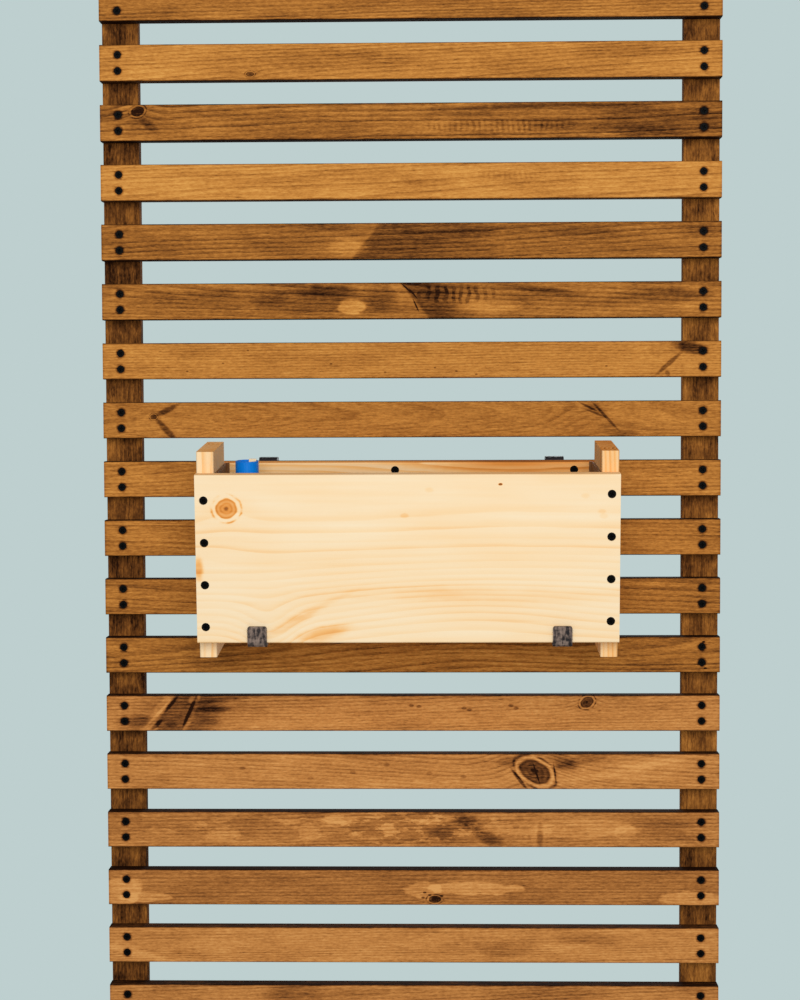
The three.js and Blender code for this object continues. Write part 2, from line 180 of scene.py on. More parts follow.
class Recipe:
    """One material, made of nodes that are added one after another."""

    def __init__(self, name):
        self.material = bpy.data.materials.new(name)
        self.material.use_nodes = True
        self.tree = self.material.node_tree
        self.tree.nodes.clear()

    def feed(self, socket, value):
        if isinstance(value, Field):
            self.tree.links.new(value.socket, socket)
        else:
            socket.default_value = value

    def node(self, kind, values, output=0, **settings):
        made = self.tree.nodes.new("ShaderNode" + kind)
        for setting, value in settings.items():
            setattr(made, setting, value)
        pairs = values.items() if isinstance(values, dict) else enumerate(values)
        for place, value in pairs:
            self.feed(made.inputs[place], value)
        return Field(self, made.outputs[output])

    def position(self):
        """The point on the object, in metres."""
        return self.node("TexCoord", [], output=OBJECT_PLACE)

    def millimetres(self):
        """The point on the object, in millimetres."""
        return self.node("Mapping", {"Vector": self.position(), "Scale": (METRE,) * 3})

    def split(self, vector):
        """A vector's x, y and z, as fields."""
        made = self.node("SeparateXYZ", [vector]).socket.node
        return [Field(self, output) for output in made.outputs]

    def noise(self, point, along, across, seed, detail=2.0, roughness=0.5):
        """Noise from -1 to 1 whose spots are about this long along the grain and across it."""
        scale = (1 / along, 1 / across, 1 / across)
        shift = (seed, *NOISE_SHIFT)
        moved = self.node("Mapping", {"Vector": point, "Location": shift, "Scale": scale})
        values = {"Vector": moved, "Scale": 1.0, "Detail": detail, "Roughness": roughness}
        return (self.node("TexNoise", values) - 0.5) * 2.0

    def ramp(self, field, stops):
        """Colours along a field, from (place, colour) pairs."""
        made = self.node("ValToRGB", [field])
        elements = made.socket.node.color_ramp.elements
        while len(elements) < len(stops):
            elements.new(0.5)
        for element, (place, colour) in zip(elements, stops):
            element.position = place
            element.color = colour
        return made

    def blend(self, share, first, second):
        """One colour passing into another."""
        values = {"Factor": share, FIRST_COLOUR: first, SECOND_COLOUR: second}
        return self.node("Mix", values, output=MIXED_COLOUR, data_type="RGBA")

    def finish(self, colour, roughness, height, relief, gloss, metal=0.0):
        """Joins colour, roughness and a height, whose unit is relief, to the surface shader."""
        return self.show(self.node("BsdfPrincipled", {
            "Base Color": colour,
            "Roughness": roughness,
            "Metallic": metal,
            "Specular IOR Level": gloss,
            "Normal": self.node("Bump", {"Height": height, "Distance": relief}),
        }))

    def show(self, shader):
        """Makes a shader the material's surface."""
        surface = self.tree.nodes.new("ShaderNodeOutputMaterial")
        self.tree.links.new(shader.socket, surface.inputs["Surface"])
        return self.material


def dress(node, material):
    """Gives a solid of the frame its finish."""
    for slot in nodes[node].material_slots:
        slot.material = material


print("a recipe adds nodes by name:", Recipe("sample").node("Math", [1.0, 2.0]).socket.name)
bpy.data.materials.remove(bpy.data.materials["sample"])

# %% [markdown]
# ## Sawn pine as a solid texture
#
# A board is a slice of a trunk. Its growth rings are tubes round the heart, so the distance from
# the heart, divided by the ring's width, gives the ring. Where the saw runs nearly along a ring the
# lines open into arches, because the trunk tapers. Where a branch grew, the rings bulge round the
# knot. Because all this is worked out in the board's own space, in millimetres, the rings also show
# as arcs on its ends. An image of wood would need to be stretched over each face.
#
# The steps are: place the point in the board, bend it with slow noise, add a bulge for each knot,
# then find the ring. On top come fibres, a soft mottling where the stain took unevenly, and fine
# dark pores.

# %% Points and rings in a board
# Each layer of noise reads from a place of its own, so that no two layers of a board look alike.
SLOW_BEND, QUICK_BEND = 1.0, 2.0
RIPPLE_SHIFT, RIPPLE_FADE, KNOT_RIM = 5.0, 6.0, 8.0
FIBRES, STRANDS, CLOUDS, PORES, FLECKS = 11.0, 12.0, 13.0, 14.0, 15.0
TORN_FIBRES, BLOTCHES = 21.0, 31.0


class Board(Recipe):
    """The recipe of one board: its own axes in millimetres, its rings, and how dark it is."""

    def __init__(self, name, middle, axes, lean=0.0, seed=0.0):
        super().__init__(name)
        self.seed = seed
        own = self.node("Mapping", {
            "Vector": self.position(),
            "Location": middle,
            "Rotation": (lean, 0.0, 0.0),
            "Scale": (1 / METRE,) * 3,
        }, vector_type="TEXTURE")
        parts = self.split(own)
        self.along, self.across, self.deep = (parts[AXES[axis]] for axis in axes)
        self.point = self.node("CombineXYZ", [self.along, self.across, self.deep])
        facing = self.split(self.node("TexCoord", [], output=NORMAL))
        self.end_grain = facing[AXES[axes[0]]].step("ABSOLUTE")
        self.edge_grain = facing[AXES["z"]].step("ABSOLUTE")
        self.bulge = None
        self.shade = None
        self.covered = None

    def grain(self, along, across, layer, detail=2.0, roughness=0.5):
        """One layer of noise in the board."""
        return self.noise(self.point, along, across, self.seed + layer, detail, roughness)

    def darken(self, amount):
        self.shade = amount if self.shade is None else self.shade + amount

    def swell(self, amount):
        self.bulge = amount if self.bulge is None else self.bulge + amount

    def cover(self, amount):
        """Where other wood, such as a knot, lies over the board's own rings."""
        self.covered = amount if self.covered is None else self.covered + amount

    def spot(self, along, across, length, width, tilt=0.0, ragged=0.25, grain=9.0):
        """Distance from a spot's middle, 1 at its rim. The rim is uneven."""
        turn = math.radians(tilt)
        c, s = math.cos(turn), math.sin(turn)
        du, dv = self.along - along, self.across - across
        a = (du * c + dv * s) / (length / 2)
        b = (dv * c - du * s) / (width / 2)
        distance = (a * a + b * b).step("SQRT")
        return distance + self.grain(grain * 1.6, grain, along * 0.1) * ragged

    def rings(self, heart, taper, width, drift):
        """How far each point is into the dark, late part of its ring, from 0 to 1."""
        v, w = self.across - heart[0], self.deep - heart[1]
        distance = (v * v + w * w).step("SQRT") + self.along * taper
        distance = distance + self.grain(420, 70, SLOW_BEND, detail=1.0) * drift
        distance = distance + self.grain(70, 14, QUICK_BEND) * (drift * 0.16)
        if self.bulge is not None:
            distance = distance + self.bulge
        turn = distance / width
        number = turn.step("FLOOR")
        part = turn.step("FRACT")
        chance = self.node("TexWhiteNoise", {"W": number + self.seed}, noise_dimensions="1D")
        strength = chance * 0.7 + 0.3
        if self.covered is not None:
            strength = strength * self.covered.from_edge(0.0, 1.0, 1.0, 0.1)
        late = part.from_edge(0.25, 0.9) * part.from_edge(0.9, 1.0, 1.0, 0.0)
        return late * strength


sample = Board("sample", (0, 0, 0), "xzy")
print("a board's recipe starts with", len(sample.tree.nodes), "nodes")
bpy.data.materials.remove(sample.material)

# %% [markdown]
# ## Knots, streaks and light patches
#
# Stain shows up what bare pine hides. A knot is cut branch wood: dense, dark, with rings of its own
# and a darker rim, and the grain flows round it. A spike knot is a branch cut along its length, so
# it is a long wedge. Resin and pressed fibres keep stain out, which leaves light islands with a
# sharp border, and torn fibres drink more of it. Each of these is a short function that adds to how
# dark the board is, so a board's figure is written as a list of such marks.

# %% Marks in the wood


def patch(along, across, length, width, dark, tilt=0.0, edge=0.5, ragged=0.3, grain=9.0):
    """A darker stretch, or a lighter one where dark is negative."""
    def add(board):
        distance = board.spot(along, across, length, width, tilt, ragged, grain)
        board.darken(distance.from_edge(1 - edge, 1 + edge, dark, 0.0))
    return add


def knot(along, across, length, width, dark=0.5, tilt=0.0, flow=1.0, border=0.03):
    """A round or oval knot: dark wood with faint rings, a light border and a broken dark rim."""
    def add(board):
        distance = board.spot(along, across, length, width, tilt, ragged=0.14, grain=width * 0.4)
        core = distance.from_edge(0.85, 1.0, 1.0, 0.0)
        rings = (distance * 17.0).step("SINE") * 0.5 + 0.5
        heart = distance.from_edge(0.0, 0.45, 0.25, 0.0)
        pale = (distance - 1.09).hill(0.07) * border
        broken = board.grain(width * 0.6, width * 0.4, KNOT_RIM).from_edge(-0.3, 0.3, 0.0, 1.0)
        rim = (distance - 1.28).hill(0.1) * broken
        board.darken(core * (rings * 0.2 + 0.8 + heart) * dark + rim * (dark * 0.9) - pale)
        board.cover(core)
        reach = board.spot(along, across, length * 2.6, width * 2.2, tilt, ragged=0.0)
        board.swell(reach.hill(1.0) * (width * 0.45 * flow))
    return add


def streak(start, end, width, dark):
    """A dark line that runs across the grain, as a branch cut lengthwise leaves."""
    length = math.hypot(end[0] - start[0], end[1] - start[1])
    tilt = math.degrees(math.atan2(end[1] - start[1], end[0] - start[0]))
    middle = ((start[0] + end[0]) / 2, (start[1] + end[1]) / 2)
    return patch(*middle, length, width, dark, tilt, edge=0.45, ragged=0.2, grain=4.0)


def islands(along, across, length, width, size, light):
    """Light islands with sharp, ragged borders, where pressed fibres kept the stain out."""
    def add(board):
        place = board.spot(along, across, length, width, ragged=0.3, grain=12.0)
        shapes = board.grain(size, size * 0.4, along * 0.1, detail=4.0, roughness=0.65)
        inside = shapes.from_edge(0.02, 0.1) * 1.4 - 0.4
        board.darken(inside * place.from_edge(0.7, 1.1, -light, 0.0))
    return add


def tide(start, slant, reach, dark, side=1):
    """Stain that begins sharply at a slanted line and fades out along the grain."""
    def add(board):
        past = (board.along - start - board.across * slant) * side
        past = past + board.grain(9, 7, start * 0.1) * 3.0
        board.darken(past.from_edge(0.0, 6.0) * past.from_edge(reach * 0.3, reach, dark, 0.0))
    return add


def bend(along, across, length, width, amount):
    """The grain flows round something, and nothing else shows."""
    def add(board):
        board.swell(board.spot(along, across, length, width, ragged=0.0).hill(1.0) * amount)
    return add


def ripples(start, end, across, width, pitch, dark):
    """Short dark marks side by side across the grain, left by the planer."""
    def add(board):
        middle, length = (start + end) / 2, end - start
        place = board.spot(middle, across, length, width, ragged=0.45, grain=7.0)
        shifted = board.along + board.grain(30, 16, RIPPLE_SHIFT, detail=3.0) * (pitch * 0.8)
        marks = (shifted * (2 * math.pi / pitch)).step("SINE").from_edge(-0.5, 0.7)
        uneven = board.grain(11, 6, RIPPLE_FADE).from_edge(-0.5, 0.5, 0.3, 1.0)
        board.darken(place.from_edge(0.6, 1.2, dark, 0.0) * marks * uneven)
    return add


def pins(places, size, dark):
    """Small dark nicks."""
    shape = dict(edge=0.4, ragged=0.15, grain=2.0)
    return [patch(u, v, size, size * 0.6, dark, **shape) for u, v in places]


MARKS = (patch, knot, streak, islands, tide, bend, ripples, pins)
print("marks a board can have:", [mark.__name__ for mark in MARKS])

# %% [markdown]
# ## Brown stain on the slats and rails
#
# The slats are planed battens under a thin brown stain, so the wood stays visible: light amber
# where little was taken up, dark brown in the figure. A ramp holds these browns, and every mark,
# ring and fibre moves a point along it. That keeps all slats in one family although no two are
# alike. The lower slats' ramp is a little less golden: painted light, a cooler light on the lower
# slats than on the upper ones.
#
# The eased edges and the upper and lower faces are darker: partly stain that gathers there, partly
# painted shade, since each slat shades the faces next to it. Stain also gathers round the screws,
# where fibres are torn, and it sinks deep into the end grain.

# %% The stain's browns and the slats' recipe


def browns(blue):
    """The stain's ramp. More blue makes the browns less golden."""
    return [
        (0.0, srgb(230, 167, 88 * blue)),
        (0.25, srgb(205, 138, 66 * blue)),
        (0.5, srgb(164, 104, 46 * blue)),
        (0.75, srgb(110, 66, 30 * blue)),
        (1.0, srgb(40, 20, 10)),
    ]


# painted light: the upper slats' ramp is warmer and the lower slats' ramp cooler, as the light's
# colour would make them
WARM_LIT_STAIN = browns(0.97)
COOL_LIT_STAIN = browns(1.1)
FIRST_LOWER_SLAT = 13
STAIN_SHARE = {  # how strongly each layer shows
    "rings": 0.22, "fibres": 0.28, "flecks": 0.32, "strands": 0.12, "mottle": 0.3, "pores": 0.22}
FACING = (0.5, 0.9)  # from here to here a face counts as looking along an axis
# painted shade, with some pooled stain: the upper and lower faces are darkened
EDGE_SHADE_AND_STAIN = 0.45  # how much darker the upper and lower edges are
END_STAIN = 0.3  # and the end grain
SLAT_HALF = 21.0
SLAT_END = 360.0
RIM_WIDTH = 1.9  # of the darker line along an edge
END_WIDTH = 3.0  # and along an end
TORN_RADII = (4.0, 7.0)  # of the torn fibres round a screw, where they begin to fade and end
SCREW_REACH = 339.0  # of a slat's screws from its middle
SCREW_SPREAD = 9.25  # above and below its middle line


def stain(board, ramp, tone, contrast, rings):
    """Colour and roughness of stained wood, from its rings and marks."""
    fibres = board.grain(16, 1.2, FIBRES, detail=3.0, roughness=0.65)
    flecks = board.grain(6, 1.9, FLECKS, detail=3.0, roughness=0.7)
    strands = board.grain(150, 3.2, STRANDS)
    mottle = board.grain(80, 20, CLOUDS, detail=5.0, roughness=0.65)
    pores = board.grain(8, 1.0, PORES, detail=1.0).from_edge(0.3, 0.65)
    share = STAIN_SHARE
    dark = rings * (share["rings"] * contrast) + fibres * share["fibres"]
    dark = dark + flecks * share["flecks"] + strands * (share["strands"] * contrast)
    dark = dark + mottle * (share["mottle"] * contrast) + pores * share["pores"] + tone
    dark = dark + board.end_grain.from_edge(*FACING, 0.0, END_STAIN)
    dark = dark + board.edge_grain.from_edge(*FACING, 0.0, EDGE_SHADE_AND_STAIN)
    if board.shade is not None:
        dark = dark + board.shade
    colour = board.ramp(dark, ramp)
    height = fibres * 0.4 - rings * 0.5 - pores
    return board.finish(colour, fibres * 0.06 + 0.78, height, relief=0.00012, gloss=0.02)


def slat_material(
        name, ramp, seed, tone, heart, taper, contrast=1.0, ring=3.0, drift=5.0, marks=()):
    low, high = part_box(name)
    board = Board(name + "_stain", (low + high) / 2, "xzy", seed=seed)
    for mark in marks:
        mark(board)
    # the darker line along the upper and lower edges: partly pooled stain, partly painted shade on
    # the eased edge
    rim = board.across.step("ABSOLUTE").from_edge(SLAT_HALF - RIM_WIDTH, SLAT_HALF, 0.0, 0.2)
    end = board.along.step("ABSOLUTE").from_edge(SLAT_END - END_WIDTH, SLAT_END, 0.0, 0.12)
    u = board.along.step("ABSOLUTE") - SCREW_REACH
    v = board.across.step("ABSOLUTE") - SCREW_SPREAD
    torn = (u * u + v * v).step("SQRT") + board.grain(4, 2.5, TORN_FIBRES) * 1.6
    board.darken(rim + end + torn.from_edge(*TORN_RADII, 0.4, 0.0))
    rings = board.rings(heart, taper, ring, drift)
    return stain(board, ramp, tone, contrast, rings)


print("stain runs over", len(WARM_LIT_STAIN), "browns")

# %% [markdown]
# ## The figure of each slat
#
# The marks follow the photograph slat by slat: the knots, the spike knot with its fan of dark
# grain, the light island, the slat that turns dark in its middle. Tone is how dark the slat is on
# the whole, heart is where the tree's heart lay, seen from the slat's middle, and taper opens the
# arches. The slats behind the box can hardly be seen, so theirs are plain.

# %% Figures
SLAT_FIGURES = {
    1: dict(tone=0.4, heart=(50, 40), taper=0.02),
    2: dict(tone=0.27, heart=(-46, 38), taper=-0.035, marks=[
        knot(-185, -14, 10, 6, 0.5),
        patch(-81, -3, 150, 26, 0.12),
        patch(253, 9, 110, 18, 0.14),
        patch(-290, -6, 120, 26, -0.1),
        patch(110, -8, 160, 16, 0.08),
    ]),
    3: dict(tone=0.44, heart=(30, 16), taper=0.018, contrast=1.35, ring=4.2, drift=7, marks=[
        knot(-316, 13, 17, 12, 0.6, tilt=20),
        streak((-314, 6), (-292, -12), 10, 0.2),
        patch(296, -2, 150, 52, 0.12, edge=0.35),
        patch(352, 4, 50, 40, 0.14),
        patch(232, -10, 160, 14, 0.14, tilt=-3),
        patch(170, 15, 200, 9, 0.2),
        ripples(10, 190, -7, 15, 6.5, 0.2),
    ]),
    4: dict(tone=0.2, heart=(-34, 30), taper=-0.03, contrast=1.1, ring=3.6, drift=7, marks=[
        ripples(60, 170, 6, 12, 6, 0.1),
        patch(-140, 4, 120, 10, 0.1, tilt=6),
        patch(20, -2, 60, 8, 0.12),
    ]),
    5: dict(tone=0.45, heart=(40, 44), taper=0.02, marks=[
        tide(-55, 0.8, 190, 0.24),
        patch(-72, -7, 40, 20, -0.2, edge=0.45),
        patch(-96, 17, 60, 9, 0.16),
        patch(150, 12, 260, 14, 0.1),
    ]),
    6: dict(tone=0.42, heart=(30, 34), taper=-0.02, contrast=1.1, marks=[
        patch(-125, 1, 110, 34, 0.15, grain=14, ragged=0.5),
        patch(-250, 1, 130, 22, 0.14, grain=12),
        patch(-68, -7, 32, 18, -0.4, edge=0.16, ragged=0.25, grain=6),
        tide(2, -0.8, 66, 0.3),
        streak((-10, 19), (1, 9), 1.8, 0.5),
        streak((-1, 13), (7, 3), 1.6, 0.5),
        streak((3, 1), (9, -12), 1.8, 0.5),
        ripples(6, 106, 7, 22, 9.5, 0.36),
        patch(-168, 4, 46, 26, 0.1, grain=9, ragged=0.5),
        patch(-96, 10, 60, 14, 0.2, grain=9, ragged=0.5),
        patch(-36, 4, 34, 30, 0.2, grain=9, ragged=0.5),
        patch(92, -8, 70, 12, -0.2, edge=0.4),
        patch(150, 12, 90, 8, 0.24, tilt=-7),
        patch(296, 5, 90, 16, 0.2, grain=12),
        patch(330, -8, 40, 12, -0.12),
    ]),
    7: dict(tone=0.27, heart=(70, 30), taper=0.008, contrast=0.8, ring=2.6, drift=3, marks=[
        patch(326, 13, 36, 13, 0.5, tilt=-12, edge=0.45),
        streak((286, -17), (312, 6), 5, 0.4),
        streak((296, -14), (300, -19), 5, 0.3),
        *pins([(-219, -3), (-93, -4), (28, -9), (53, -13), (76, -17), (-261, -12), (227, -8),
               (-190, 12), (-30, -14)], 3, 0.36),
    ]),
    8: dict(tone=0.37, heart=(10, 24), taper=0.04, contrast=0.7, ring=2.6, drift=7, marks=[
        knot(-301, 4, 8, 7, 0.5),
        streak((-299, 5), (-272, 18), 6, 0.4),
        streak((-297, 0), (-276, -22), 7, 0.42),
        streak((196, 19), (216, 9), 2.6, 0.34),
        streak((203, 11), (226, 2), 2.4, 0.3),
        streak((212, 18), (240, -12), 3.2, 0.32),
        patch(214, 12, 26, 10, 0.16, tilt=-30),
        patch(246, -17, 34, 8, 0.22),
        bend(-200, -2, 90, 26, -9),
        bend(230, 0, 120, 30, 8),
    ]),
    9: dict(tone=0.34, heart=(40, 40), taper=0.02),
    10: dict(tone=0.38, heart=(-40, 50), taper=0.015),
    11: dict(tone=0.42, heart=(30, 50), taper=-0.02),
    12: dict(tone=0.44, heart=(24, 22), taper=0.03, contrast=1.3, ring=4.6, drift=10, marks=[
        # painted light: lightens the slat's middle, where the box's shadow falls on it
        patch(0, -6, 460, 44, -0.1),
        patch(80, 2, 260, 9, -0.12, tilt=3),
        bend(60, -6, 240, 40, 7),
        *pins([(343, -16), (341, 15)], 3.5, 0.6),
    ]),
    13: dict(tone=0.26, heart=(60, 36), taper=0.02, marks=[
        patch(-278, -2, 68, 31, 0.38, tilt=54, edge=0.14, ragged=0.2, grain=7),
        streak((-307, -19), (-295, -8), 5, 0.4),
        streak((-291, 2), (-277, 19), 4, 0.36),
        streak((-270, -16), (-255, 18), 4, 0.5),
        streak((-312, -14), (-285, 15), 3.4, -0.2),
        streak((-262, 12), (-256, 21), 7, -0.26),
        patch(-284, -13, 14, 7, 0.22, ragged=0.4),
        tide(-261, 0.42, 48, 0.3),
        tide(-303, 0.7, 44, 0.16, side=-1),
        patch(-236, 5, 44, 7, 0.34, ragged=0.4),
        patch(-222, 16, 70, 6, 0.28, tilt=7),
        patch(-240, -10, 30, 8, 0.14),
        patch(-324, -9, 52, 12, 0.26),
        patch(-210, 0, 70, 26, 0.08),
        knot(205, 13, 17, 13, 0.62, tilt=30),
        *pins([(-1, 9), (8, 8), (61, 6), (67, 4), (116, 9), (122, 6)], 6, 0.32),
    ]),
    14: dict(tone=0.25, heart=(36, 30), taper=-0.03, marks=[
        knot(144, 0, 43, 27, 0.62, tilt=-30, flow=1.1, border=0.18),
        streak((142, 9), (149, -12), 2, 0.4),
        streak((139, 3), (148, 1), 2, 0.3),
        streak((117, 2), (134, -20), 4, 0.5),
        streak((166, 8), (169, -14), 2, 0.45),
        patch(178, 10, 30, 15, 0.3, tilt=-14),
        patch(200, 14, 60, 9, 0.2, tilt=12),
        patch(110, 13, 22, 12, 0.22),
        patch(250, 2, 140, 9, -0.12, tilt=12),
        patch(232, 14, 120, 8, 0.14, tilt=8),
        *pins([(-70, -1), (-120, -8), (-30, 8), (20, -2), (60, -6), (-200, 4)], 7, 0.2),
    ]),
    15: dict(tone=0.34, heart=(50, 36), taper=0.01, marks=[
        islands(-60, 0, 560, 46, 52, 0.12),
        islands(0, 3, 190, 40, 26, 0.18),
        patch(-88, 12, 40, 12, -0.14, edge=0.15, ragged=0.45, grain=8),
        patch(64, 9, 30, 14, 0.34, grain=7, ragged=0.5, tilt=-24),
        patch(90, -10, 32, 14, 0.34, grain=7, ragged=0.5, tilt=-20),
        patch(34, -6, 30, 20, 0.14, grain=7, ragged=0.5),
        patch(150, -7, 7, 26, 0.26, grain=6, ragged=0.4),
        patch(200, 2, 124, 22, -0.15, edge=0.1, ragged=0.4, grain=10),
        patch(250, -3, 26, 18, -0.1, edge=0.12, ragged=0.2, grain=9),
        patch(300, 2, 60, 30, 0.08),
    ]),
    16: dict(tone=0.43, heart=(40, 30), taper=0.01, contrast=0.8, marks=[
        patch(74, -1, 108, 15, -0.28, edge=0.08, ragged=0.4, grain=12),
        patch(12, -3, 42, 20, -0.24, edge=0.1, ragged=0.45, grain=9),
        knot(26, -14, 16, 9, 0.6, flow=0.6),
        *pins([(14, -6), (20, -9), (12, -12), (34, -10)], 4, 0.45),
        patch(-344, -4, 46, 34, -0.26, edge=0.12, ragged=0.4, grain=9),
        patch(-318, -12, 60, 12, -0.26, edge=0.12, ragged=0.35, grain=7),
        patch(330, -13, 80, 16, -0.28, edge=0.12, ragged=0.3, grain=8),
    ]),
    17: dict(tone=0.24, heart=(66, 30), taper=0.012, contrast=0.9, ring=2.6, marks=[
        patch(73, 2, 70, 20, 0.12, grain=12),
        patch(118, -4, 60, 22, 0.16, grain=10, ragged=0.5, tilt=14),
        patch(210, 8, 80, 12, 0.12, grain=12),
        patch(193, -6, 60, 14, -0.1, grain=12),
        patch(-320, -12, 80, 9, -0.14, tilt=-14),
    ]),
    18: dict(tone=0.31, heart=(-40, 34), taper=-0.03, marks=[
        patch(-145, 8, 60, 26, 0.22, grain=12),
        patch(155, 8, 120, 20, 0.14, grain=14),
        patch(-60, 12, 60, 10, 0.12),
    ]),
}


def stain_slats():
    for number, figure in SLAT_FIGURES.items():
        name = f"slat_{number:02d}"
        ramp = WARM_LIT_STAIN if number < FIRST_LOWER_SLAT else COOL_LIT_STAIN
        dress(name, slat_material(name, ramp, seed=number * 3.7, **figure))


stain_slats()
print("slats stained:", len(SLAT_FIGURES))

# %% [markdown]
# ## The rails
#
# The two upright rails carry the slats. They were stained darker, and their tone also holds painted
# shade, since the slats in front shade them. Between the slats they show as short dark stretches
# with upright grain and cloudy blotches. The same recipe serves, with the grain turned upright.

# %% Rails
# how dark each rail is: its darker stain plus painted shade from the slats in front
RAIL_TONE_AND_SHADE = {"rail_left": 0.74, "rail_right": 0.62}
RAIL_CONTRAST = 0.55


def rail_material(name, seed):
    low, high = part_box(name)
    board = Board(name + "_stain", (low + high) / 2, "zxy", seed=seed)
    blotch = board.grain(40, 22, BLOTCHES, detail=5.0, roughness=0.65)
    board.darken(blotch * 0.6)
    rings = board.rings((30, 26), 0.01, 3.2, 5.0)
    return stain(board, WARM_LIT_STAIN, RAIL_TONE_AND_SHADE[name], RAIL_CONTRAST, rings)


for place, rail in enumerate(("rail_left", "rail_right")):
    dress(rail, rail_material(rail, seed=80 + place * 9.0))
print("rails stained: 2")

# %% [markdown]
# ## Bare pine for the box
#
# The box is made of wide, bare, planed boards. Bare pine is pale cream with soft honey lines, far
# calmer than the slats. The lines flow: they rise over something just below the front board's lower
# left, close round a faint oval at its left edge, and run level towards the right. These bends are
# bulges of the rings, as a knot makes them, but without a knot.

# %% Bare pine
PINE = [
    (0.0, srgb(255, 235, 200)),
    (0.3, srgb(255, 222, 174)),
    (0.55, srgb(251, 193, 122)),
    (0.8, srgb(232, 150, 70)),
    (1.0, srgb(150, 88, 44)),
]
PINE_SHARE = {"rings": 0.26, "fibres": 0.05, "strands": 0.13, "clouds": 0.2}
CUT_SIDE = 0.24  # how much darker the ends and edges are
lift_axis = Vector(next(j["axis"] for j in frame["joints"] if j["name"] == "box_lift"))
BOX_LEAN = math.atan2(-lift_axis.y, lift_axis.z)


def bare_pine(name, axes, seed, tone, heart, taper, contrast=1.0, ring=4.5, drift=9.0, marks=()):
    low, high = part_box(name)
    board = Board(name + "_pine", (low + high) / 2, axes, lean=BOX_LEAN, seed=seed)
    for mark in marks:
        mark(board)
    rings = board.rings(heart, taper, ring, drift)
    fibres = board.grain(30, 0.7, FIBRES, detail=3.0, roughness=0.6)
    strands = board.grain(190, 5.0, STRANDS)
    clouds = board.grain(140, 40, CLOUDS)
    share = PINE_SHARE
    dark = rings * (share["rings"] * contrast) + fibres * share["fibres"]
    dark = dark + strands * (share["strands"] * contrast)
    dark = dark + clouds * (share["clouds"] * contrast) + tone
    cut_side = board.end_grain.step("MAXIMUM", board.edge_grain)
    dark = dark + cut_side.from_edge(*FACING, 0.0, CUT_SIDE)
    if board.shade is not None:
        dark = dark + board.shade
    colour = board.ramp(dark, PINE)
    height = fibres * 0.3 - rings * 0.3
    return board.finish(colour, fibres * 0.05 + 0.7, height, relief=0.0001, gloss=0.0)


FRONT_MARKS = [
    knot(-196.6, 56, 26, 24, 0.66, flow=0.4),
    bend(60, -58, 340, 90, 18),
    bend(-152, -84, 66, 74, -20),
    bend(-232, 8, 110, 26, 8),
    patch(-92, -82, 56, 14, 0.4, tilt=12, edge=0.6),
    patch(-128, -72, 60, 9, 0.26, tilt=26, edge=0.6),
    patch(-228, -11, 10, 24, 0.5, edge=0.6),
    patch(110, -40, 330, 15, 0.17, tilt=-1, edge=0.7),
    patch(-110, -58, 90, 7, 0.16, tilt=24, edge=0.7),
    *pins([(101, 82)], 4.5, 0.9),
    *pins([(-3, 48), (24, 76), (193, 69), (211, 52), (213, 47)], 9, 0.16),
]

dress("front_board", bare_pine(
    "front_board", "xzy", 5.0, 0.15, (70, 64), 0.012, 0.88, ring=6.5, drift=5.0, marks=FRONT_MARKS))
BACK_MARKS = [patch(140, 84, 220, 36, 0.2, edge=0.6)]
dress("back_board", bare_pine("back_board", "xzy", 15.0, 0.44, (40, 50), 0.02, marks=BACK_MARKS))
dress("end_board_left", bare_pine("end_board_left", "zyx", 25.0, 0.24, (30, 40), 0.02))
dress("end_board_right", bare_pine("end_board_right", "zyx", 35.0, 0.46, (-34, 44), -0.02))
dress("floor_board", bare_pine("floor_board", "xyz", 45.0, 0.3, (20, 60), 0.02))
print("the box leans by", round(math.degrees(BOX_LEAN), 1), "degrees")

# %% [markdown]
# ## Steel brackets
#
# The brackets are bent from flat bar that still has its dark mill scale. Handling and bending leave
# it smudged. The hooks lie in shade at the slat, so they are painted nearly black: painted shade.
# The bar gets a narrow bevel, so its edges catch light, and its finish mixes clouds of scale, long
# rubbed smears and small bare specks.

# %% Bracket finish
SCALE_DARK = srgb(36, 32, 34)
SCALE_LIGHT = srgb(142, 122, 110)
BRACKET_BEVEL = 0.0005
BEVEL_STEPS = 2
HOOK_SHADE_HEIGHTS = (20.0, 44.0)  # mm above the frame's middle, between which the hooks' painted shade sets in
# the lips' tone, and the painted shade that darkens the hooks
LIP_TONE, HOOK_SHADE = 0.36, -0.5


def mill_scale():
    recipe = Recipe("mill_scale")
    point = recipe.millimetres()
    clouds = recipe.noise(point, 9, 7, 1.0, detail=4.0, roughness=0.65)
    smears = recipe.noise(point, 3, 14, 2.0, detail=3.0, roughness=0.6)
    specks = recipe.noise(point, 1.2, 1.2, 3.0, detail=1.0).from_edge(0.35, 0.6)
    height = recipe.split(point)[AXES["z"]]
    lip_tone_and_hook_shade = height.from_edge(*HOOK_SHADE_HEIGHTS, LIP_TONE, HOOK_SHADE)
    share = clouds * 1.1 + smears * 1.3 + specks * 0.3 + lip_tone_and_hook_shade
    colour = recipe.blend(share.from_edge(0.0, 1.0), SCALE_DARK, SCALE_LIGHT)
    roughness = clouds * 0.12 + 0.46
    return recipe.finish(colour, roughness, clouds + specks, relief=0.00015, gloss=0.12, metal=0.1)


MILL_SCALE = mill_scale()


def soften_edges(obj, width):
    """A narrow bevel, so that edges catch light."""
    bevel = obj.modifiers.new("eased edges", "BEVEL")
    bevel.width = width
    bevel.segments = BEVEL_STEPS
    bevel.limit_method = "ANGLE"


for bracket in ("bracket_left", "bracket_right"):
    dress(bracket, MILL_SCALE)
    soften_edges(nodes[bracket], BRACKET_BEVEL)
print("bracket edges eased by", BRACKET_BEVEL * METRE, "mm")

